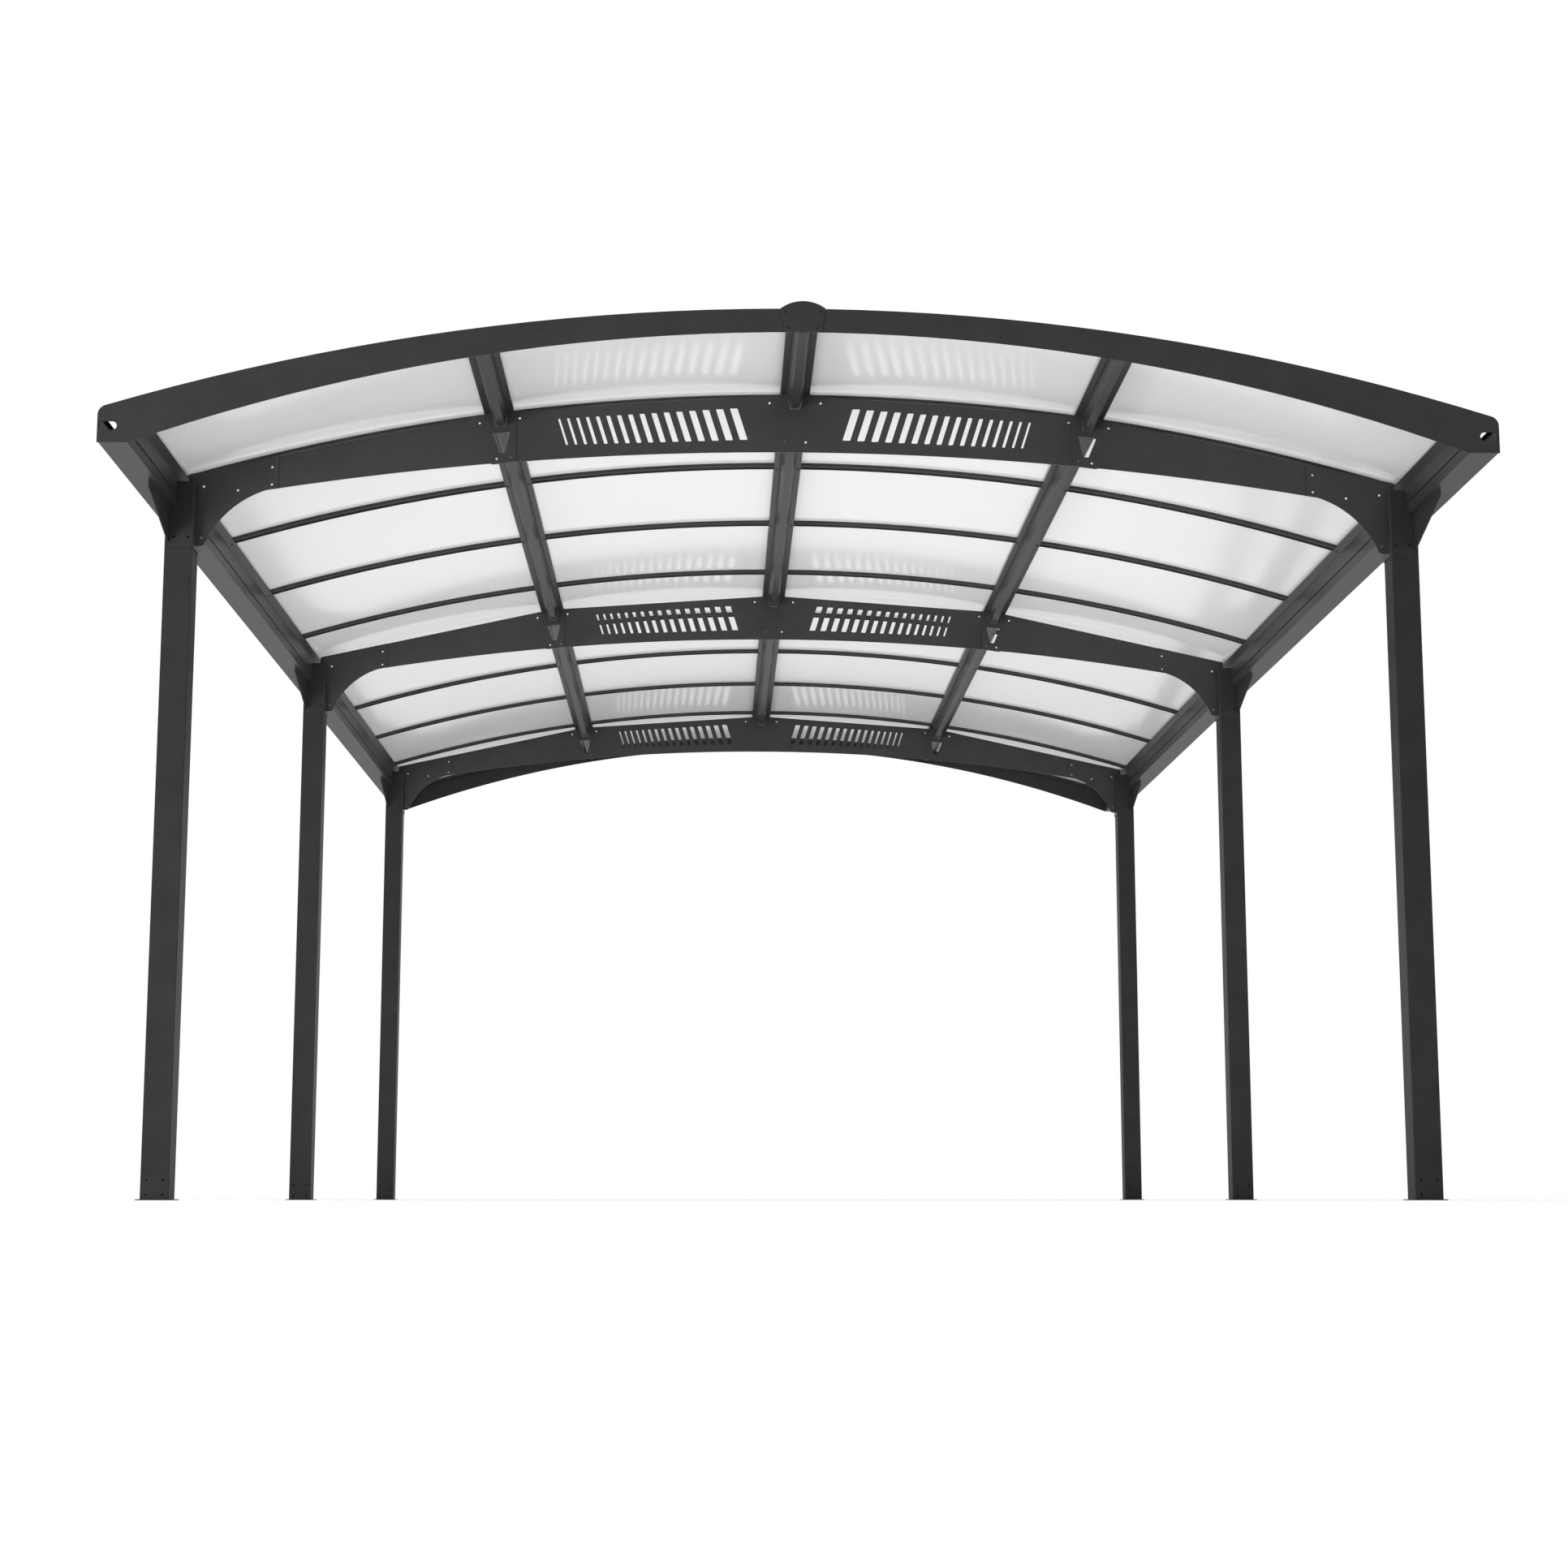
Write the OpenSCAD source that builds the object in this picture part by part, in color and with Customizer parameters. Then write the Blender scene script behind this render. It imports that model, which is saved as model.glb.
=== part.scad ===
// Arched roof carport: six posts, three slotted roof trusses, three purlins,
// two gutters, curved glazing bars and translucent roof panels.
// Width along X, length along Y with the front at -Y, up is +Z, millimetres.

/* [Overall] */
// Distance across between the post centre lines
post_gauge = 3444; // [2800:1:4200]
// Distance along between neighbouring trusses
bay = 2514; // [1800:1:3200]
// Reach of the roof past the end trusses
overhang = 664; // [450:1:900]
// Height of the gutter underside above the floor
eave_height = 1916; // [1700:1:2800]
// Radius of the roof arc under the glazing bars
roof_radius = 5984; // [4500:1:9000]

/* [Posts] */
// Post width across
post_width = 77; // [65:0.5:120]
// Post depth along
post_depth = 84; // [65:0.5:120]
// Post wall thickness
post_wall = 2.5; // [1.5:0.1:4]
// Outer corner radius of the post
post_round = 3.2; // [2:0.1:6]
// Margin of the base plate around the post
foot_margin = 10; // [4:0.5:40]
// Base plate thickness
foot_plate = 3; // [2:0.1:8]
// Height of the socket inside the post foot
foot_socket = 75; // [65:1:140]
// Spacing across of the foot screws
foot_screw_gap = 44; // [30:0.5:50]
// Height of the lower foot screws above the base plate
foot_screw_low = 12; // [8:0.5:20]
// Height of the upper foot screws above the base plate
foot_screw_high = 51; // [35:0.5:60]
// Hole for a foot or head screw
screw_d = 6; // [4:0.1:8]
// Anchor hole in the base plate
anchor_d = 11; // [8:0.5:14]
// Spacing of the two anchor holes
anchor_gap = 40; // [25:0.5:50]

/* [Post heads] */
// Sheet thickness of the head brackets
head_t = 3; // [2:0.1:5]
// Width of the bracket on the post face
head_width = 68.5; // [55:0.5:76]
// Drop of the bracket under the gutter
head_drop = 119; // [100:1:160]
// Rise of the bracket's inner arm beside the gutter
head_rise = 71; // [40:1:80]
// Radius of the bracket's lower corner
head_round = 18; // [5:0.5:25]
// Reach of the folded wing under the gutter
wing_reach = 270; // [150:1:320]
// Depth of the wing at the post
wing_deep = 106.5; // [60:0.5:115]
// Depth of the wing at its nose
wing_nose = 20.5; // [14:0.5:40]
// Spacing of the bracket's screw holes
head_hole_gap = 39.4; // [25:0.1:45]
// Inset of the bracket's first screw hole
head_hole_in = 11.4; // [8:0.1:16]
// Height of the screw holes above the bracket's lower edge
head_hole_up = 30; // [20:0.5:40]

/* [Trusses] */
// Thickness of the truss sheet
plate_t = 3; // [2:0.1:5]
// Depth of the truss at the ridge
truss_depth = 169; // [150:1:220]
// Distance of the side purlins from the middle
purlin_x = 840; // [760:1:1000]
// Depth of the arm where the haunch begins
arm_depth = 92; // [70:1:110]
// Rise of the truss top above the gutter underside, at the post
arm_rise = 106.2; // [100:0.1:115]
// Bolt hole diameter
bolt_d = 7; // [5:0.1:9]

/* [Truss slots] */
// Number of slots in each half of the truss
slot_count = 16; // [4:1:17]
// Width of the widest slot, next to the ridge
slot_wide = 21.8; // [18:0.1:24]
// Width of the narrowest slot
slot_thin = 6.0; // [5.4:0.1:12]
// Sheet left between two slots
slot_land = 19.3; // [14:0.1:20]
// Distance of the first slot from the ridge
slot_first = 160.3; // [140:0.1:180]
// Sheet left above the slots
slot_top_edge = 29.8; // [20:0.1:40]
// Sheet left below the slots at the ridge
slot_low_edge = 41.2; // [25:0.1:50]
// Corner radius of a slot
slot_round = 2.4; // [1:0.1:2.6]
// Lean of the slots, sideways for each unit of height
slot_lean = 0.315; // [0:0.005:0.4]

/* [Haunches] */
// Reach of the haunch plate from the post
haunch_reach = 227.5; // [180:0.5:260]
// Drop of the haunch plate under the gutter
haunch_drop = 105; // [80:1:115]
// Width of the haunch's foot beside the post
haunch_foot = 25; // [18:0.5:40]
// Radius of the haunch's lower edge
haunch_radius = 271; // [240:1:290]
// Radius of the haunch's lower corner
haunch_round = 12; // [4:0.5:15]

/* [Purlins] */
// Overall width of the purlin
purlin_width = 83.4; // [70:0.1:110]
// Width of the keel at the flange
keel_top = 50; // [40:0.5:60]
// Width of the keel at the bottom
keel_low = 23; // [16:0.5:30]
// Depth of the keel
keel_depth = 44; // [30:0.5:50]

/* [Roof] */
// Number of panel rows along the roof
panel_rows = 9; // [5:1:12]
// Panel thickness
panel_t = 6; // [4:0.5:10]
// Width of a glazing bar
bar_width = 40; // [30:1:60]
// Width of the bar's upper flange
bar_cap = 28; // [16:1:30]
// Depth of the lips along the bar
bar_lip = 5.5; // [2:0.1:8]
// Height of the panel's seat above the bar's tray
bar_seat = 2; // [0.5:0.1:3]
// Thickness of the bar's walls
bar_wall = 2; // [1.2:0.1:3]
// Extra length of the end panels beyond the bar pitch
end_extra = 19; // [0:1:60]
// Reach of the panels over the gutter
panel_drip = 17; // [8:0.5:30]
// Sheet thickness of fascias, purlins and gutters
sheet_t = 2.5; // [1.5:0.1:4]

/* [Gutters] */
// Width of the gutter channel
gutter_width = 75; // [65:1:120]
// Height of the gutter's outer wall
gutter_wall = 74; // [50:1:95]
// Hem along the outer wall's top
gutter_hem = 10; // [6:0.5:20]
// Distance of the channel's inner wall from the post centre
gutter_offset = 9; // [0:0.5:15]
// Height of the lip that carries the bars
gutter_lip_rise = 102; // [98:0.5:120]
// Projection of that lip
gutter_lip = 16; // [10:0.5:25]
// Height of the groove in the inner wall above the gutter floor
groove_up = 30; // [15:0.5:45]
// Width of the groove
groove_high = 5; // [3:0.5:10]
// Depth of the groove
groove_deep = 4; // [1:0.5:10]

/* [Fascias and ridge] */
// Rise of the fascia above the roof arc at the ridge
fascia_rise = 20.3; // [18:0.1:30]
// Drop of the fascia below the roof arc at the ridge
fascia_drop = 43; // [35:0.5:60]
// Height of the fascia end at the gutter's outer wall
fascia_end = 94; // [80:0.5:110]
// Width of the fascia beyond the gutter
fascia_side = 4; // [2:0.5:10]
// Radius of the fascia's upper corner
fascia_round = 27; // [10:0.5:32]
// Length of the outlet slot at the gutter end
outlet_long = 46; // [30:0.5:50]
// Width of the outlet slot
outlet_wide = 23; // [14:0.5:26]
// Distance of the outlet from the gutter's inner wall
outlet_in = 52; // [45:0.5:52]
// Height of the outlet above the gutter underside
outlet_up = 44; // [30:0.5:50]
// Distance of the first fixing hole from the ridge
fascia_hole_first = 388; // [200:1:420]
// Distance of the last fixing hole from the fascia's end
fascia_hole_last = 73; // [40:1:120]
// Number of fixing holes along each fascia half
fascia_holes = 5; // [3:1:8]
// Distance of the fixing holes from the upper edge
fascia_hole_edge = 8; // [6:0.5:15]
// Half width of the ridge cover
cover_half = 60; // [50:0.5:80]
// Rise of the ridge cover over its shoulders
cover_rise = 21; // [10:0.5:30]
// Height of the cover's shoulder above the roof arc
cover_shoulder = 19; // [17:0.5:26]
// Sheet thickness of the ridge cover
cover_t = 2; // [1.5:0.1:3]
// Half width of the ridge plate at its foot
ridge_plate_low = 48; // [40:0.5:58]

/* [Hidden] */
$fn = 180;
half_len = bay + overhang;
inner_len = half_len - sheet_t;
post_x = post_gauge / 2;
post_in = post_x - post_width / 2;
gut_in = post_x + gutter_offset;
gut_out = gut_in + gutter_width;
fascia_out = gut_out + fascia_side;
head_in = post_in - head_t;
head_out = post_in + head_width;
post_front = -post_depth / 2;

function arc_r(chord, rise) = (chord * chord + rise * rise) / (2 * rise);
function arc_z(r, top, x) = top - r + sqrt(r * r - x * x);

// Roof arc: passes through the gutter's inner lip
lip_x = gut_in - gutter_lip;
roof_cz = eave_height + gutter_lip_rise - sqrt(roof_radius * roof_radius - lip_x * lip_x);
roof_top = roof_cz + roof_radius;
function roof_angle(x) = asin(x / roof_radius);

// Truss outline: straight top edges that meet under the side purlins, arched bottom edge
purlin_half = purlin_width / 2;
seat_gap = sheet_t * 0.1;
ridge_z = roof_top - sheet_t - seat_gap;
knee_z = arc_z(roof_radius, roof_top, purlin_x) - sheet_t + 1.5 * seat_gap;
arm_z = eave_height + arm_rise;
function centre_top(x) = ridge_z + (knee_z - ridge_z) * x / purlin_x;
function arm_top(x) = knee_z + (arm_z - knee_z) * (x - purlin_x) / (post_in - purlin_x);
haunch_x = post_in - haunch_reach;
truss_low = ridge_z - truss_depth;
truss_r = arc_r(haunch_x, truss_low - arm_top(haunch_x) + arm_depth);
function truss_bottom(x) = arc_z(truss_r, truss_low, x);
lap_in = purlin_x - 1.2 * purlin_half;
lap_out = purlin_x + 0.62 * purlin_half;
tab_round = 0.24 * purlin_half;
arm_end = haunch_x + 0.19 * haunch_reach;
knee_deep = knee_z - truss_bottom(purlin_x);
edge_hole = 3 * bolt_d;

// Slots: widths fall evenly, the sheet between them stays the same
slot_step = (slot_wide - slot_thin) / max(1, slot_count - 1);
function slot_w(i) = slot_wide - i * slot_step;
function slot_x(i) = slot_first + i * (slot_land + slot_wide) - slot_step * i * i / 2;

// Haunch: lower edge is an arc from the arm's lower edge to the foot beside the post
haunch_low = eave_height - haunch_drop;
haunch_a = [haunch_x, truss_bottom(haunch_x) + 0.9 * sheet_t];
haunch_b = [post_in - haunch_foot, haunch_low];
haunch_chord = haunch_b - haunch_a;
haunch_sink = sqrt(pow(haunch_radius, 2) - haunch_chord * haunch_chord / 4);
haunch_c = (haunch_a + haunch_b) / 2 + haunch_sink * unit([haunch_chord[1], -haunch_chord[0]]);
foot_z = haunch_low + haunch_round;
haunch_run = sqrt(pow(haunch_radius + haunch_round, 2) - pow(foot_z - haunch_c[1], 2));
haunch_corner = [haunch_c[0] + haunch_run, foot_z];
haunch_end = head_in + 0.75 * (lip_x - head_in);

// Glazing bar section, heights above the roof arc
tray_v = bar_lip + bar_wall;
panel_v = tray_v + bar_seat;
cap_v = panel_v + panel_t;
bar_top = cap_v + bar_wall;
row_pitch = (2 * inner_len - 2 * end_extra) / panel_rows;
function bar_y(k) = (k - panel_rows / 2) * row_pitch;
bar_start = 0.28 * keel_top;
bar_end = gut_in + 2 * sheet_t;
panel_end = gut_in + panel_drip;

// Fascia arcs
fascia_top = roof_top + fascia_rise;
fascia_r = arc_r(gut_out, fascia_top - eave_height - fascia_end);
fascia_low = roof_top - fascia_drop;
fascia_low_r = arc_r(gut_in, fascia_low - eave_height);
fascia_a0 = asin(fascia_hole_first / fascia_r);
fascia_a1 = asin((fascia_out - fascia_hole_last) / fascia_r);

// Ridge cover
cover_z = roof_top + cover_shoulder;
cover_r = arc_r(cover_half, cover_rise);

frame_colour = [0.16, 0.165, 0.17];
panel_colour = [0.92, 0.93, 0.94, 0.6];

// Stands a drawing in X and Z upright, from y to y + t
module upright(y, t) {
  translate([0, y + t, 0]) rotate([90, 0, 0]) linear_extrude(height = t) children();
}

// Runs a drawing in X and Z along the whole roof between the fascias
module along() {
  upright(-inner_len, 2 * inner_len) children();
}

// Puts a drawing on the roof arc above x: first axis along the arc, second outwards
module on_roof(x) {
  translate([0, roof_cz]) rotate(-roof_angle(x)) translate([0, roof_radius]) children();
}

// Disc with its top at a given height, for the long arcs of the roof
module big_disc(r, top) {
  translate([0, top - r]) circle(r = r, $fn = 720);
}

module roof_disc(v) {
  big_disc(roof_radius + v, roof_top + v);
}

// Rectangle from one corner to the opposite one
module box(a, b) {
  translate(a) square(b - a);
}

module side(s) {
  if (s > 0) children();
  else mirror([1, 0, 0]) children();
}

// Convex outline with round corners: straight core plus a disc in each corner
function unit(a) = a / norm(a);
function half_angle(p, q, s) = acos(unit(q - p) * unit(s - p)) / 2;
function tangent(p, q, s, r) = p + unit(q - p) * r / tan(half_angle(p, q, s));
function corner(p, q, s, r) =
  p + unit(unit(q - p) + unit(s - p)) * r / sin(half_angle(p, q, s));

module rounded(pts, r) {
  n = len(pts);
  polygon([for (i = [0:n - 1], e = [n - 1, 1])
    tangent(pts[i], pts[(i + e) % n], pts[(i + n - e) % n], r)]);
  for (i = [0:n - 1])
    translate(corner(pts[i], pts[(i + n - 1) % n], pts[(i + 1) % n], r)) circle(r = r, $fn = 32);
}

module rounded_box(w, d, r) {
  rounded([[-w / 2, -d / 2], [w / 2, -d / 2], [w / 2, d / 2], [-w / 2, d / 2]], r);
}

module holes(d, pts) {
  for (p = pts) translate(p) circle(d = d, $fn = 32);
}

// Posts and feet

module post_screws() {
  for (x = [-1, 1], z = [foot_screw_low, foot_screw_high])
    translate([x * foot_screw_gap / 2, 0, foot_plate + z]) rotate([90, 0, 0])
      cylinder(d = screw_d, h = 2 * post_depth, center = true, $fn = 32);
}

module post(s, y) {
  color(frame_colour) translate([s * post_x, y, 0]) difference() {
    translate([0, 0, foot_plate]) linear_extrude(height = eave_height - foot_plate) difference() {
      rounded_box(post_width, post_depth, post_round);
      rounded_box(post_width - 2 * post_wall, post_depth - 2 * post_wall, post_round / 3);
    }
    post_screws();
    for (g = [0, head_hole_gap])
      translate([s * (post_in + head_hole_in + g - post_x), 0, eave_height - head_drop + head_hole_up])
        rotate([90, 0, 0]) cylinder(d = screw_d, h = 2 * post_depth, center = true, $fn = 32);
  }
}

module foot(s, y) {
  w = post_width - 2 * post_wall;
  d = post_depth - 2 * post_wall;
  translate([s * post_x, y, 0]) difference() {
    union() {
      linear_extrude(height = foot_plate)
        rounded_box(post_width + 2 * foot_margin, post_depth + 2 * foot_margin, post_round);
      linear_extrude(height = foot_plate + foot_socket) rounded_box(w, d, post_round / 3);
    }
    translate([0, 0, foot_plate]) linear_extrude(height = 2 * foot_socket)
      square([w - 2 * foot_plate, d - 2 * foot_plate], center = true);
    post_screws();
    for (t = [-1, 1])
      translate([0, t * anchor_gap / 2, 0])
        cylinder(d = anchor_d, h = 3 * foot_plate, center = true, $fn = 32);
  }
}

module feet(s) {
  color(frame_colour) for (k = [-1:1]) foot(s, k * bay);
}

// Head bracket: a saddle folded around the post's inner side, with arms beside the gutter
// and a wing folded out under the gutter at the front and the back

module head_face() {
  low = eave_height - head_drop;
  difference() {
    union() {
      box([head_in, low], [head_out - head_round, eave_height]);
      box([head_in, low + head_round], [head_out, eave_height]);
      translate([head_out - head_round, low + head_round]) circle(r = head_round);
      box([head_in, low], [gut_in, eave_height + head_rise]);
    }
    holes(screw_d, [for (g = [0, head_hole_gap]) [post_in + head_hole_in + g, low + head_hole_up]]);
  }
}

module wing_face() {
  nose = post_front - wing_reach;
  deep = wing_nose + 1.5 * (wing_deep - wing_nose);
  far = nose + 1.5 * wing_reach;
  intersection() {
    rounded([[far, eave_height - deep], [nose, eave_height - wing_nose],
      [nose, eave_height + wing_nose], [far, eave_height + wing_nose]], wing_nose * 0.5);
    box([nose, eave_height - head_drop], [post_front, eave_height]);
  }
}

module head_saddle() {
  d = post_depth + 2 * head_t;
  difference() {
    translate([head_in + head_width, 0]) rounded_box(2 * head_width, d, 1.4 * head_t);
    translate([post_in + head_width, 0]) square([2 * head_width, post_depth], center = true);
  }
}

module head_bracket() {
  intersection() {
    upright(-post_depth, 2 * post_depth) head_face();
    translate([0, 0, eave_height - head_drop]) linear_extrude(height = head_drop + head_rise) head_saddle();
  }
  for (e = [0, 1]) mirror([0, e, 0]) translate([head_out - head_t, 0, 0]) rotate([90, 0, 90])
    linear_extrude(height = head_t) wing_face();
}

module heads(s) {
  color(frame_colour) side(s) for (k = [-1:1]) translate([0, k * bay, 0]) head_bracket();
}

// Trusses

module purlin_notch(x) {
  gap = sheet_t * 0.8;
  on_roof(x) polygon([[-keel_top / 2 - gap, sheet_t], [-keel_low / 2 - gap, -keel_depth - gap],
    [keel_low / 2 + gap, -keel_depth - gap], [keel_top / 2 + gap, sheet_t]]);
}

module purlin_seat(x) {
  intersection() {
    on_roof(x) box([-purlin_half, -keel_depth / 3], [purlin_half, sheet_t]);
    roof_disc(-sheet_t);
  }
}

module purlin_window() {
  h = knee_deep;
  x = purlin_x;
  w = purlin_half;
  rounded([[x - 0.79 * w, knee_z - 0.39 * h], [x - 0.48 * w, knee_z - 0.797 * h],
    [x - 0.11 * w, knee_z - 0.805 * h], [x + 0.455 * w, knee_z - 0.43 * h]], slot_round);
}

module crossing_holes() {
  out = purlin_x + 1.3 * purlin_half;
  inn = purlin_x - 1.41 * purlin_half;
  low = [purlin_x + 0.11 * purlin_half, purlin_x - 0.83 * purlin_half];
  holes(bolt_d, [[out, arm_top(out) - edge_hole], [inn, centre_top(inn) - edge_hole],
    [low[0], truss_bottom(low[0]) + 0.6 * edge_hole], [low[1], truss_bottom(low[1]) + 0.67 * edge_hole]]);
}

module slots() {
  for (i = [0:slot_count - 1]) {
    x = slot_x(i);
    w = slot_w(i) / 2;
    hi = centre_top(x) - slot_top_edge;
    lo = truss_low + slot_low_edge - 0.0376 * x;
    b = (lo - hi) / 2 * slot_lean;
    rounded([[x - w + b, lo], [x + w + b, lo], [x + w - b, hi], [x - w - b, hi]], slot_round);
  }
}

module centre_half() {
  tab = lap_out - tab_round;
  tab_z = truss_bottom(lap_out);
  root_x = purlin_x - purlin_half;
  root_z = truss_bottom(root_x);
  difference() {
    union() {
      difference() {
        polygon([[0, tab_z - tab_round], [tab, tab_z - tab_round], [tab, tab_z + 2 * tab_round],
          [lap_out, tab_z + 2 * tab_round], [lap_out, arm_top(lap_out)], [purlin_x, knee_z], [0, ridge_z]]);
        big_disc(truss_r, truss_low);
      }
      rounded([[root_x, root_z], [lap_out, tab_z - tab_round / 4], [lap_out, tab_z + 4 * tab_round],
        [root_x, root_z + 4 * tab_round]], tab_round);
      intersection() {
        union() { purlin_seat(0); purlin_seat(purlin_x); }
        box([0, truss_low], [lap_out, fascia_top]);
      }
    }
    purlin_notch(0);
    purlin_notch(purlin_x);
    purlin_window();
    crossing_holes();
    slots();
    ridge_holes();
  }
}

module ridge_holes() {
  up = 1.745 * purlin_half;
  holes(bolt_d, [[up, centre_top(up) - 0.94 * edge_hole],
    [0.72 * purlin_half, truss_low + 1.4 * edge_hole]]);
}

module arm() {
  low = truss_bottom(arm_end) + seat_gap * 5;
  difference() {
    union() {
      polygon([[lap_in, low], [arm_end, low], [arm_end, arm_top(arm_end)], [purlin_x, knee_z],
        [lap_in, centre_top(lap_in)]]);
      intersection() {
        purlin_seat(purlin_x);
        box([lap_in, truss_low], [arm_end, fascia_top]);
      }
    }
    big_disc(truss_r, truss_low);
    purlin_notch(purlin_x);
    purlin_window();
    crossing_holes();
    haunch_holes();
  }
}

module haunch_holes() {
  x = haunch_x + 0.08 * haunch_reach;
  holes(bolt_d, [[x, arm_top(x) - 0.3 * arm_depth], [x, arm_top(x) - 0.845 * arm_depth],
    [haunch_x + 0.494 * haunch_reach, eave_height + 0.53 * arm_rise],
    [post_in - 0.087 * haunch_reach, eave_height + 0.624 * arm_rise],
    [post_in - 0.077 * haunch_reach, haunch_low + 0.218 * haunch_drop]]);
}

// Haunch plate: concave lower edge, a round foot against the head bracket and a top above it
module haunch() {
  t = haunch_c + (haunch_corner - haunch_c) * haunch_radius / (haunch_radius + haunch_round);
  difference() {
    intersection() {
      union() {
        difference() {
          polygon([[haunch_x, haunch_low], [haunch_end, haunch_low], [haunch_end, arm_top(haunch_end)],
            [haunch_x, arm_top(haunch_x)]]);
          translate(haunch_c) circle(r = haunch_radius);
          polygon([haunch_corner, t, [haunch_x, t[1]], [haunch_x, haunch_low - haunch_round],
            [haunch_corner[0], haunch_low - haunch_round]]);
        }
        translate(haunch_corner) circle(r = haunch_round, $fn = 48);
      }
      union() {
        box([haunch_x, haunch_low], [head_in, knee_z]);
        box([haunch_x, eave_height + head_rise], [haunch_end, knee_z]);
      }
    }
    haunch_holes();
  }
}

module truss_half(s, y) {
  color(frame_colour) side(s) upright(y, plate_t) centre_half();
}

module truss_arms(y) {
  color(frame_colour) for (s = [-1, 1]) side(s) upright(y - plate_t, plate_t) arm();
}

module truss_haunches(y) {
  color(frame_colour) for (s = [-1, 1]) side(s) upright(y - 2 * plate_t, plate_t) haunch();
}

// Purlins: flanges that follow the roof arc and a folded keel

module purlin(x) {
  t = sheet_t;
  a = keel_top / 2;
  b = keel_low / 2;
  color(frame_colour) along() difference() {
    union() {
      difference() {
        intersection() {
          roof_disc(0);
          on_roof(x) box([-purlin_half, -keel_depth / 3], [purlin_half, t]);
        }
        roof_disc(-t);
      }
      on_roof(x) polygon([[-a, -t / 2], [-b, -keel_depth], [b, -keel_depth], [a, -t / 2]]);
    }
    on_roof(x) polygon([[-a + t / 2, 2 * t], [-b + 0.8 * t, t - keel_depth],
      [b - 0.8 * t, t - keel_depth], [a - t / 2, 2 * t]]);
  }
}

// Gutters: open channel, folded inner wall and a lip that carries the bars

module gutter_section() {
  w = gutter_width;
  h = gutter_wall;
  t = sheet_t;
  k = gutter_lip_rise;
  translate([gut_in, eave_height]) difference() {
    union() {
      polygon([[0, 0], [w, 0], [w, h], [w - gutter_hem, h], [w - gutter_hem, h - t], [w - t, h - t],
        [w - t, t], [t, t], [t, k - gutter_lip], [0, k - gutter_lip]]);
      box([0, groove_up - t], [groove_deep + t, groove_up + groove_high + t]);
    }
    box([-t, groove_up], [groove_deep, groove_up + groove_high]);
  }
  intersection() {
    translate([gut_in, eave_height]) polygon([[0, k - 1.3 * gutter_lip], [t, k - 1.3 * gutter_lip],
      [t, k - gutter_lip], [2 * t, k - gutter_lip + t], [2 * t, 2 * k], [-gutter_lip, 2 * k],
      [-gutter_lip, k - 1.2 * t], [0, k - gutter_lip - t / 2]]);
    roof_disc(0);
  }
}

module gutter(s) {
  color(frame_colour) side(s) along() gutter_section();
}

// Fascias and ridge

module fascia_outline() {
  r = fascia_round;
  c = [fascia_out - r, fascia_top - fascia_r + sqrt(pow(fascia_r - r, 2) - pow(fascia_out - r, 2))];
  dir = unit(c - [0, fascia_top - fascia_r]);
  difference() {
    union() {
      difference() {
        intersection() {
          box([0, eave_height], [fascia_out, fascia_top]);
          big_disc(fascia_r, fascia_top);
        }
        polygon([c, c + 3 * r * dir, c + [3 * r, 3 * r], c + [3 * r, 0]]);
      }
      translate(c) circle(r = r);
    }
    intersection() {
      big_disc(fascia_low_r, fascia_low);
      box([-sheet_t, 0], [gut_in, fascia_top]);
    }
    difference() {
      box([-sheet_t, fascia_low], [cover_half + cover_t / 4, 2 * fascia_top]);
      roof_disc(bar_top);
    }
    translate([gut_in + outlet_in, eave_height + outlet_up]) {
      square([outlet_long - outlet_wide, outlet_wide], center = true);
      for (e = [-1, 1])
        translate([e * (outlet_long - outlet_wide) / 2, 0]) circle(d = outlet_wide, $fn = 48);
    }
    translate([0, fascia_top - fascia_r]) for (i = [0:fascia_holes - 1])
      rotate(-fascia_a0 - i * (fascia_a1 - fascia_a0) / (fascia_holes - 1))
        translate([0, fascia_r - fascia_hole_edge]) circle(d = screw_d, $fn = 32);
  }
}

module fascia(s, end) {
  y = end < 0 ? -half_len : half_len - sheet_t;
  color(frame_colour) side(s) upright(y, sheet_t) fascia_outline();
}

module cover_outline(inset) {
  intersection() {
    translate([0, cover_z + cover_rise - cover_r]) circle(r = cover_r - inset);
    box([-cover_half + inset, fascia_low], [cover_half - inset, cover_z + 2 * cover_rise]);
  }
}

module ridge_cover() {
  color(frame_colour) upright(-half_len, 2 * half_len) difference() {
    cover_outline(0);
    cover_outline(cover_t);
    roof_disc(bar_top);
  }
}

module ridge_plate(end) {
  y = end < 0 ? -half_len - plate_t : half_len;
  color(frame_colour) upright(y, plate_t) difference() {
    union() {
      intersection() {
        cover_outline(0);
        box([-cover_half, cover_z], [cover_half, cover_z + 2 * cover_rise]);
      }
      polygon([[-ridge_plate_low, fascia_low], [ridge_plate_low, fascia_low],
        [cover_half, cover_z], [-cover_half, cover_z]]);
    }
    holes(screw_d, [for (s = [-1, 1], p = [[0.77 * cover_half, cover_z - 0.4 * cover_rise],
      [0.79 * ridge_plate_low, fascia_low + 0.48 * cover_rise]]) [s * p[0], p[1]]]);
  }
}

// Glazing bars and panels

// Sweeps a section, first axis outwards from the roof arc, second along the roof
module sweep(x0, x1) {
  a0 = roof_angle(x0);
  a1 = roof_angle(x1);
  translate([0, 0, roof_cz]) rotate([90, 0, 0]) rotate([0, 0, 90 - a1])
    rotate_extrude(angle = a1 - a0, $fn = 720) translate([roof_radius, 0]) children();
}

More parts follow.
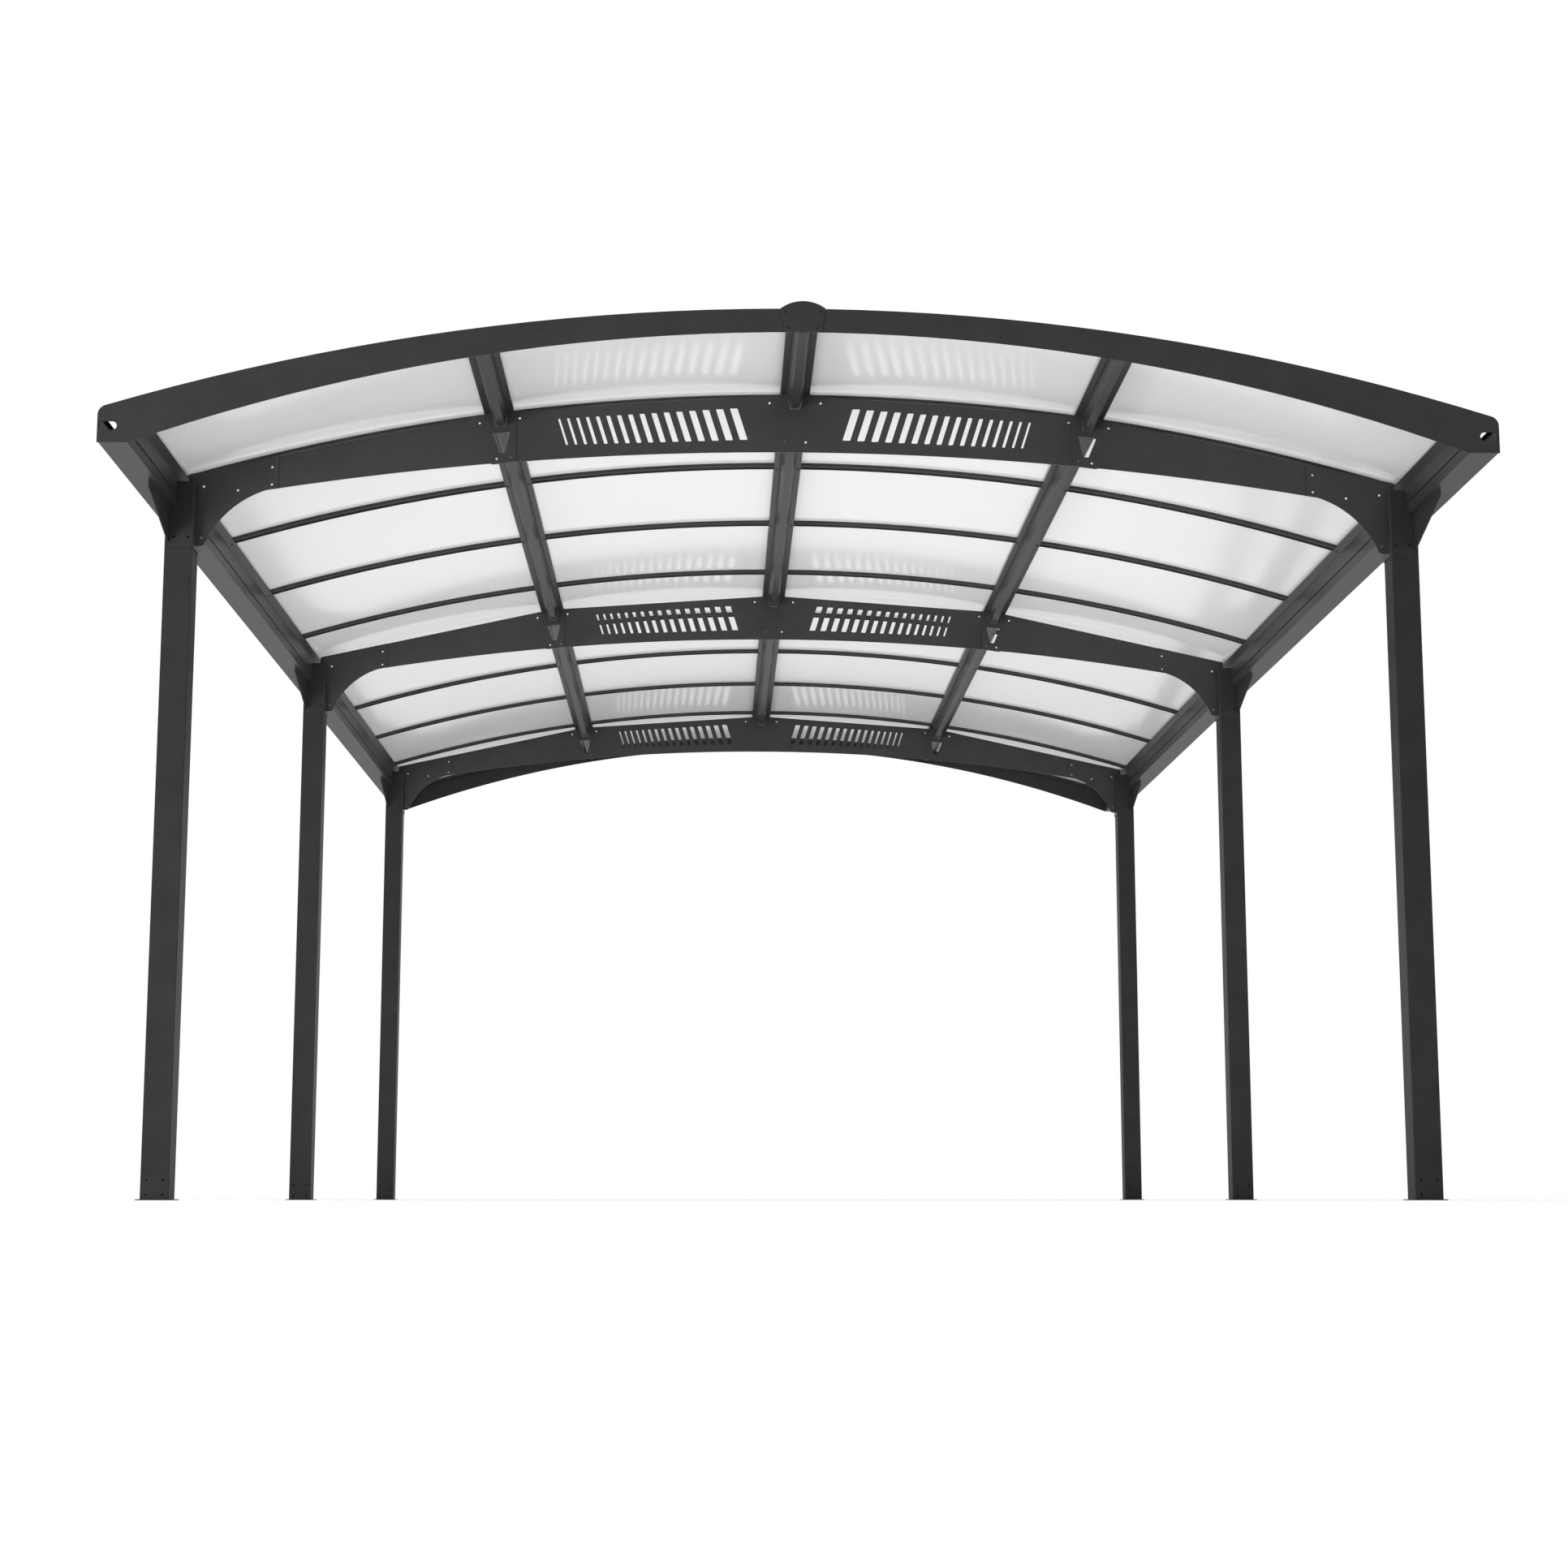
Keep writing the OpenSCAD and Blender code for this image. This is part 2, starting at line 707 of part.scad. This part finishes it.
// Bar section: lipped tray below the panels, web between them, flange above
module bar_section() {
  w = bar_width / 2;
  t = bar_wall;
  box([bar_lip, -w], [tray_v, w]);
  for (s = [0, 1]) mirror([0, s]) box([0, w - t], [panel_v, w]);
  box([bar_lip, -t / 2], [bar_top, t / 2]);
  box([cap_v, -bar_cap / 2], [bar_top, bar_cap / 2]);
}

// End bar section: one side of the bar, with its web against the fascia
module end_section() {
  w = bar_width / 2;
  t = bar_wall;
  box([bar_lip, -w], [tray_v, 0]);
  box([0, -w], [panel_v, t - w]);
  box([0, -t], [bar_top, 0]);
  box([cap_v, -bar_cap / 2], [bar_top, 0]);
}

module bars(s) {
  color(frame_colour) side(s) {
    for (k = [1:panel_rows - 1]) translate([0, bar_y(k), 0]) sweep(bar_start, bar_end) bar_section();
    for (e = [0, 1]) mirror([0, e, 0]) translate([0, -inner_len, 0])
      sweep(bar_start, bar_end) end_section();
  }
}

module panels(s) {
  end = inner_len - bar_wall * 1.25;
  color(panel_colour) side(s) for (k = [0:panel_rows - 1]) {
    y0 = k == 0 ? -end : bar_y(k) + bar_wall * 0.75;
    y1 = k == panel_rows - 1 ? end : bar_y(k + 1) - bar_wall * 0.75;
    translate([0, (y0 + y1) / 2, 0]) sweep(bar_start, panel_end)
      box([panel_v, (y0 - y1) / 2], [cap_v, (y1 - y0) / 2]);
  }
}

module post_front_left() post(-1, -bay);
module post_front_right() post(1, -bay);
module post_middle_left() post(-1, 0);
module post_middle_right() post(1, 0);
module post_back_left() post(-1, bay);
module post_back_right() post(1, bay);
module feet_left() feet(-1);
module feet_right() feet(1);
module heads_left() heads(-1);
module heads_right() heads(1);
module truss_front_left() truss_half(-1, -bay);
module truss_front_right() truss_half(1, -bay);
module truss_front_arms() truss_arms(-bay);
module truss_front_haunches() truss_haunches(-bay);
module truss_middle_left() truss_half(-1, 0);
module truss_middle_right() truss_half(1, 0);
module truss_middle_arms() truss_arms(0);
module truss_middle_haunches() truss_haunches(0);
module truss_back_left() truss_half(-1, bay);
module truss_back_right() truss_half(1, bay);
module truss_back_arms() truss_arms(bay);
module truss_back_haunches() truss_haunches(bay);
module ridge_purlin() purlin(0);
module purlin_left() purlin(-purlin_x);
module purlin_right() purlin(purlin_x);
module gutter_left() gutter(-1);
module gutter_right() gutter(1);
module fascia_front_left() fascia(-1, -1);
module fascia_front_right() fascia(1, -1);
module fascia_back_left() fascia(-1, 1);
module fascia_back_right() fascia(1, 1);
module ridge_plate_front() ridge_plate(-1);
module ridge_plate_back() ridge_plate(1);
module bars_left() bars(-1);
module bars_right() bars(1);
module panels_left() panels(-1);
module panels_right() panels(1);

post_front_left();
post_front_right();
post_middle_left();
post_middle_right();
post_back_left();
post_back_right();
feet_left();
feet_right();
heads_left();
heads_right();
truss_front_left();
truss_front_right();
truss_front_arms();
truss_front_haunches();
truss_middle_left();
truss_middle_right();
truss_middle_arms();
truss_middle_haunches();
truss_back_left();
truss_back_right();
truss_back_arms();
truss_back_haunches();
ridge_purlin();
purlin_left();
purlin_right();
gutter_left();
gutter_right();
fascia_front_left();
fascia_front_right();
fascia_back_left();
fascia_back_right();
ridge_plate_front();
ridge_plate_back();
ridge_cover();
bars_left();
bars_right();
panels_left();
panels_right();
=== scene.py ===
import math

import bmesh
import bpy
from mathutils import Matrix, Vector


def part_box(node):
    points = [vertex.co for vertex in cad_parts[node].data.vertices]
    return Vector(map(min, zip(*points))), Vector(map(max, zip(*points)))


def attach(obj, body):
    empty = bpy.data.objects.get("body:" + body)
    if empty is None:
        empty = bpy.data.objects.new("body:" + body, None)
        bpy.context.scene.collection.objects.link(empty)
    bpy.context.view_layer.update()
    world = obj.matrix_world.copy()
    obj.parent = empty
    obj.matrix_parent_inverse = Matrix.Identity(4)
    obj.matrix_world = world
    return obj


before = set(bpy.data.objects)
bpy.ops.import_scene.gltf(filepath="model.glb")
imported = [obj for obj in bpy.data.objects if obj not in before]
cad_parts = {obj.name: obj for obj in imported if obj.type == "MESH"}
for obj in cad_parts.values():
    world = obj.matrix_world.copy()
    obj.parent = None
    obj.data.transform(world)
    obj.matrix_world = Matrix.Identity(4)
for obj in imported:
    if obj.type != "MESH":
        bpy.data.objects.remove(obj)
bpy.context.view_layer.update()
print("frame loaded, nodes:", len(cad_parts))

white = (1, 1, 1, 1)
noiseMiddle = 0.5  # the value that a noise texture swings about


class Wire:  # a shader socket that can stand in a sum
    def __init__(self, socket):
        self.socket = socket

    def maths(self, operation, first, second):
        tree = self.socket.id_data
        node = tree.nodes.new("ShaderNodeMath")
        node.operation = operation
        for slot, value in zip(node.inputs, (first, second)):
            if isinstance(value, Wire):
                tree.links.new(value.socket, slot)
            else:
                slot.default_value = value
        return Wire(node.outputs[0])

    def __add__(self, other):
        return self.maths("ADD", self, other)

    def __radd__(self, other):
        return self.maths("ADD", other, self)

    def __sub__(self, other):
        return self.maths("SUBTRACT", self, other)

    def __rsub__(self, other):
        return self.maths("SUBTRACT", other, self)

    def __mul__(self, other):
        return self.maths("MULTIPLY", self, other)

    def __rmul__(self, other):
        return self.maths("MULTIPLY", other, self)

    def sine(self):
        return self.maths("SINE", self, 0)

    def larger(self, other):
        return self.maths("MAXIMUM", self, other)


class Finish:  # a material or world and its nodes
    def __init__(self, owner):
        self.owner = owner
        owner.use_nodes = True
        self.tree = owner.node_tree
        self.tree.nodes.clear()

    def add(self, kind, settings, sockets, out=0):
        node = self.tree.nodes.new("ShaderNode" + kind)
        for key, value in settings.items():
            if key == "stops":
                for stop, (place, shade) in zip(node.color_ramp.elements, value):
                    stop.position = place
                    stop.color = (shade, shade, shade, 1)
            else:
                setattr(node, key, value)
        for key, value in sockets.items():
            if isinstance(value, Wire):
                self.tree.links.new(value.socket, node.inputs[key])
            else:
                node.inputs[key].default_value = value
        return Wire(node.outputs[out]) if node.outputs else None

    def noise(self, place, size, detail, rough=0.5):
        return self.add("TexNoise", {}, {
            "Vector": place, "Scale": 1 / size, "Detail": detail, "Roughness": rough})

    def blend(self, share, first, second):
        settings = {"data_type": "RGBA", "blend_type": "MIX"}
        return self.add("Mix", settings, {0: share, 6: first, 7: second}, out=2)

    def ramp(self, value, low, high):
        return self.add("ValToRGB", {"stops": ((low, 0), (high, 1))}, {"Fac": value})


def newFinish(name):
    return Finish(bpy.data.materials.new(name))


def grey(level):  # a display grey as scene linear, by the usual display curve
    value = level / 12.92 if level <= 0.04045 else ((level + 0.055) / 1.055) ** 2.4
    return (value, value, value, 1)


# camera: low, in front of the car space, looking up under the roof
camera = {"spot": (-0.2314, -9.6898, 0.0034), "tilt": 99.0244, "turn": -1.5955,
          "lens": 60, "sensor": 36, "near": 0.02, "far": 200}


def placeCamera(look):
    data = bpy.data.cameras.new("camera")
    data.lens = look["lens"]
    data.sensor_width = look["sensor"]
    data.clip_start = look["near"]
    data.clip_end = look["far"]
    eye = bpy.data.objects.new("camera", data)
    eye.location = look["spot"]
    eye.rotation_euler = (math.radians(look["tilt"]), 0, math.radians(look["turn"]))
    bpy.context.scene.collection.objects.link(eye)
    bpy.context.scene.camera = eye


placeCamera(camera)
print("camera placed")


# studio: white surround, white floor that keeps a soft shadow near the posts
studio = {"floorSize": 60, "floorGrey": 0.975, "glow": 0.45, "shadowReach": 5, "whiteReach": 9,
          "worldLight": 0.58}
lamps = {"key": {"spot": (-2, -3, 14), "aim": (0, 0, 1.5), "size": (12, 12), "power": 1120},
         "under": {"spot": (0, -0.35, 0.03), "aim": (0, -0.35, 3), "size": (3, 5.4), "power": 88},
         "front": {"spot": (-5, -7.5, 0.6), "aim": (0, 0, 1.9), "size": (3, 1.2), "power": 290}}


def makeWorld(look):
    world = bpy.data.worlds.new("studio")
    bpy.context.scene.world = world
    sky = Finish(world)
    direct = sky.add("LightPath", {}, {}, out="Is Camera Ray")
    glossy = sky.add("LightPath", {}, {}, out="Is Glossy Ray")
    through = sky.add("LightPath", {}, {}, out="Is Transmission Ray")
    seen = direct.larger(glossy.larger(through))
    strength = look["worldLight"] + seen * (1 - look["worldLight"])
    light = sky.add("Background", {}, {"Color": white, "Strength": strength})
    sky.add("OutputWorld", {}, {"Surface": light})


def makeFloor(look):
    half = look["floorSize"] / 2
    corners = [(-half, -half, 0), (half, -half, 0), (half, half, 0), (-half, half, 0)]
    mesh = bpy.data.meshes.new("floor")
    mesh.from_pydata(corners, [], [(0, 1, 2, 3)])
    floor = bpy.data.objects.new("floor", mesh)
    bpy.context.scene.collection.objects.link(floor)
    pale = newFinish("floor pale")
    place = pale.add("TexCoord", {}, {}, out="Object")
    reach = pale.add("VectorMath", {"operation": "LENGTH"}, {0: place}, out="Value")
    away = pale.add("MapRange", {"interpolation_type": "SMOOTHSTEP"}, {
        "Value": reach, "From Min": look["shadowReach"], "From Max": look["whiteReach"]})
    seen = pale.add("LightPath", {}, {}, out="Is Camera Ray")
    share = seen * (look["glow"] + away * (1 - look["glow"]))
    matt = pale.add("BsdfDiffuse", {}, {"Color": grey(look["floorGrey"])})
    bright = pale.add("Emission", {}, {"Color": white, "Strength": 1.0})
    both = pale.add("MixShader", {}, {0: share, 1: matt, 2: bright})
    pale.add("OutputMaterial", {}, {"Surface": both})
    mesh.materials.append(pale.owner)


def makeLamp(name, look):
    lamp = bpy.data.lights.new(name, "AREA")
    lamp.shape = "RECTANGLE"
    lamp.size, lamp.size_y = look["size"]
    lamp.energy = look["power"]
    holder = bpy.data.objects.new(name, lamp)
    holder.location = look["spot"]
    towards = Vector(look["aim"]) - Vector(look["spot"])
    holder.rotation_euler = towards.to_track_quat("-Z", "Y").to_euler()
    holder.visible_camera = False
    holder.visible_glossy = False  # the roof sheet mirrors the white surround, not the lamps
    bpy.context.scene.collection.objects.link(holder)


makeWorld(studio)
makeFloor(studio)
for name, look in lamps.items():
    makeLamp(name, look)
bpy.context.scene.view_settings.view_transform = "Standard"
print("studio lit, lamps:", len(lamps))


# powder coat: fine orange peel, faint cloudiness in tone and gloss
framePaint = {"dark": 0.165, "light": 0.185, "shine": 0.15, "rough": 0.38, "roughSpread": 0.1,
              "cloudSize": 0.09, "cloudDetail": 4, "cloudRough": 0.6, "cloudEdges": (0.3, 0.7),
              "cloudShare": 0.6, "peelShare": 0.4,  # of the spread in roughness
              "peelSize": 0.0011, "peelDetail": 2, "peelDepth": 0.00006, "peelStrength": 0.35}
litPlatePaint = dict(framePaint, dark=0.19, light=0.21, shine=0.25)  # painted light: trusses and bars get the frame coat in a lighter tone, standing in for light on them
litPostPaint = dict(framePaint, dark=0.178, light=0.198, shine=0.015)  # painted light: posts mirror little of the surround, and a lighter tone is painted in place of that sheen


def paintFinish(name, look):
    paint = newFinish(name)
    place = paint.add("TexCoord", {}, {}, out="Object")
    peel = paint.noise(place, look["peelSize"], look["peelDetail"])
    cloud = paint.noise(place, look["cloudSize"], look["cloudDetail"], look["cloudRough"])
    mask = paint.ramp(cloud, *look["cloudEdges"])
    tone = paint.blend(mask, grey(look["dark"]), grey(look["light"]))
    swing = cloud * look["cloudShare"] + peel * look["peelShare"] - noiseMiddle
    rough = look["rough"] + swing * look["roughSpread"]
    skin = paint.add("Bump", {}, {
        "Strength": look["peelStrength"], "Distance": look["peelDepth"], "Height": peel})
    body = paint.add("BsdfPrincipled", {}, {
        "Base Color": tone, "Roughness": rough, "Normal": skin, "Specular IOR Level": look["shine"]})
    paint.add("OutputMaterial", {}, {"Surface": body})
    return paint.owner


# roof sheet: milky twin wall, glossy skin, fine flutes along the slope
roofSheet = {"body": 0.87, "milk": 0.95, "share": 0.24,  # share of light that comes through
             "flute": 0.006, "ribEdges": (0.9, 1.0), "ribShade": 0.03, "ribTone": 0.8,
             "rough": 0.22, "roughSpread": 0.05, "cloudSize": 0.35, "cloudDetail": 3,
             "coat": 1.0, "coatRough": 0.12, "ior": 1.6}


def sheetFinish(name, look):
    sheet = newFinish(name)
    place = sheet.add("TexCoord", {}, {}, out="Object")
    along = sheet.add("SeparateXYZ", {}, {"Vector": place}, out="Y")
    wave = (along * (2 * math.pi / look["flute"])).sine() * 0.5 + 0.5  # from 0 to 1
    rib = sheet.ramp(wave, *look["ribEdges"])
    cloud = sheet.noise(place, look["cloudSize"], look["cloudDetail"])
    ribGrey = grey(look["body"] * look["ribTone"])
    tint = sheet.blend(rib * look["ribShade"], grey(look["body"]), ribGrey)
    rough = look["rough"] + (cloud - noiseMiddle) * look["roughSpread"]
    skin = sheet.add("BsdfPrincipled", {}, {
        "Base Color": tint, "Roughness": rough, "IOR": look["ior"],
        "Coat Weight": look["coat"], "Coat IOR": look["ior"], "Coat Roughness": look["coatRough"]})
    glow = sheet.add("BsdfTranslucent", {}, {"Color": grey(look["milk"])})
    both = sheet.add("MixShader", {}, {0: look["share"], 1: skin, 2: glow})
    sheet.add("OutputMaterial", {}, {"Surface": both})
    return sheet.owner


def dressNodes():
    paint = paintFinish("anthracite powder coat", framePaint)
    # the plate coat's lighter tone is painted light, not a different paint
    plate = paintFinish("anthracite plate coat painted lighter", litPlatePaint)
    # the post coat's lighter tone is painted light, standing in for the sheen it lacks
    post = paintFinish("anthracite post coat painted lighter", litPostPaint)
    sheet = sheetFinish("milky roof sheet", roofSheet)
    for name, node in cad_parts.items():
        finish = paint
        if name.startswith("panels"):
            finish = sheet
        elif name.startswith(("bars", "truss")):
            finish = plate
        elif name.startswith("post"):
            finish = post
        if not node.material_slots:
            node.data.materials.append(finish)
        for slot in node.material_slots:
            slot.material = finish


dressNodes()
print("frame and roof dressed")


# small dark screws with a brighter worn grain
screwMetal = {"dark": 0.18, "bright": 0.42, "metal": 0.6, "rough": 0.38, "roughSpread": 0.15,
              "grainSize": 0.0006, "grainDetail": 2, "grainEdges": (0.55, 0.75)}
screwHead = {"radius": 0.0036, "height": 0.0024, "sides": 24, "lobes": 6, "lobeDepth": 0.16,
             "dome": ((1.0, 0.0), (1.0, 0.25), (0.93, 0.6), (0.78, 0.88), (0.56, 1.0)),
             "drive": ((0.4, 1.0), (0.36, 0.45))}  # rings as shares of radius and height
# where they sit: bars and trusses over the purlins, bar ends on the gutters
screws = {"rows": 9, "endExtra": 0.019, "roofRadius": 5.984, "flangeSpot": 0.0345,
          "flangeThick": 0.0025, "barAhead": 0.008, "trussBack": 0.0115,
          "lipIn": 0.008, "lipDown": 0.0101, "lipSlope": 41.7, "lipBack": 0.005}


def screwFinish(name, look):
    metal = newFinish(name)
    place = metal.add("TexCoord", {}, {}, out="Object")
    grain = metal.noise(place, look["grainSize"], look["grainDetail"])
    mask = metal.ramp(grain, *look["grainEdges"])
    tone = metal.blend(mask, grey(look["dark"]), grey(look["bright"]))
    rough = look["rough"] + grain * look["roughSpread"]
    body = metal.add("BsdfPrincipled", {}, {
        "Base Color": tone, "Roughness": rough, "Metallic": look["metal"]})
    metal.add("OutputMaterial", {}, {"Surface": body})
    return metal.owner


def headRings(head):  # radius, height and lobe depth of each ring
    wide, tall = head["radius"], head["height"]
    dome = [(wide * r, tall * z, 0.0) for r, z in head["dome"]]
    drive = [(wide * r, tall * z, head["lobeDepth"]) for r, z in head["drive"]]
    return dome + drive


def addScrew(mesh, seat, head):
    sides = head["sides"]
    loops = []
    for radius, height, lobe in headRings(head):
        loop = []
        for i in range(sides):
            turn = 2 * math.pi * i / sides
            reach = radius * (1 + lobe * math.cos(head["lobes"] * turn))
            spot = Vector((reach * math.cos(turn), reach * math.sin(turn), height))
            loop.append(mesh.verts.new(seat @ spot))
        loops.append(loop)
    for lower, upper in zip(loops, loops[1:]):
        for i in range(sides):
            j = (i + 1) % sides
            mesh.faces.new((lower[i], lower[j], upper[j], upper[i]))
    mesh.faces.new(list(reversed(loops[0])))
    mesh.faces.new(loops[-1])


def barRows(look):  # the bars stand evenly between the ends of the gutter
    low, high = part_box("gutter_left")
    pitch = (high.y - low.y - 2 * look["endExtra"]) / look["rows"]
    return [(k - look["rows"] / 2) * pitch for k in range(1, look["rows"])]


def trussRows():
    return [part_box("truss_" + place + "_left")[0].y for place in ("front", "middle", "back")]


def underRoof(x, y, look):  # seat on the underside of a purlin flange, screw pointing down
    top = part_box("ridge_purlin")[1].z
    radius = look["roofRadius"]
    angle = math.asin(x / radius)
    reach = radius - look["flangeThick"]
    centre = Vector((0, y, top - radius))
    spot = centre + Vector((math.sin(angle), 0, math.cos(angle))) * reach
    tilt = Matrix.Rotation(angle, 4, "Y") @ Matrix.Rotation(math.pi, 4, "X")
    return Matrix.Translation(spot) @ tilt


def purlinSeats(node, look):
    low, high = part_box(node)
    middle = (low.x + high.x) / 2
    rows = [y + look["barAhead"] for y in barRows(look)]
    rows += [y - look["trussBack"] for y in trussRows()]
    return [underRoof(middle + side * look["flangeSpot"], y, look) for y in rows for side in (-1, 1)]


def gutterSeats(node, side, look):  # on the sloping lip, one at each bar end
    low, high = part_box(node)
    slope = math.radians(look["lipSlope"])
    out = Vector((-side * math.sin(slope), 0, -math.cos(slope)))
    turn = out.to_track_quat("Z", "Y").to_matrix().to_4x4()
    x = side * (min(abs(low.x), abs(high.x)) + look["lipIn"])
    z = high.z - look["lipDown"]
    return [Matrix.Translation((x, y - look["lipBack"], z)) @ turn for y in barRows(look)]


def makeScrews(name, seats, head, finish):
    mesh = bmesh.new()
    for seat in seats:
        addScrew(mesh, seat, head)
    data = bpy.data.meshes.new(name)
    mesh.to_mesh(data)
    mesh.free()
    for face in data.polygons:
        face.use_smooth = True
    data.materials.append(finish)
    piece = bpy.data.objects.new(name, data)
    bpy.context.scene.collection.objects.link(piece)
    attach(piece, "root")


dark = screwFinish("dark screw metal", screwMetal)
for purlin in ("ridge_purlin", "purlin_left", "purlin_right"):
    makeScrews(purlin + "_screws", purlinSeats(purlin, screws), screwHead, dark)
for gutter, side in (("gutter_left", -1), ("gutter_right", 1)):
    makeScrews(gutter + "_screws", gutterSeats(gutter, side, screws), screwHead, dark)
print("screws set")
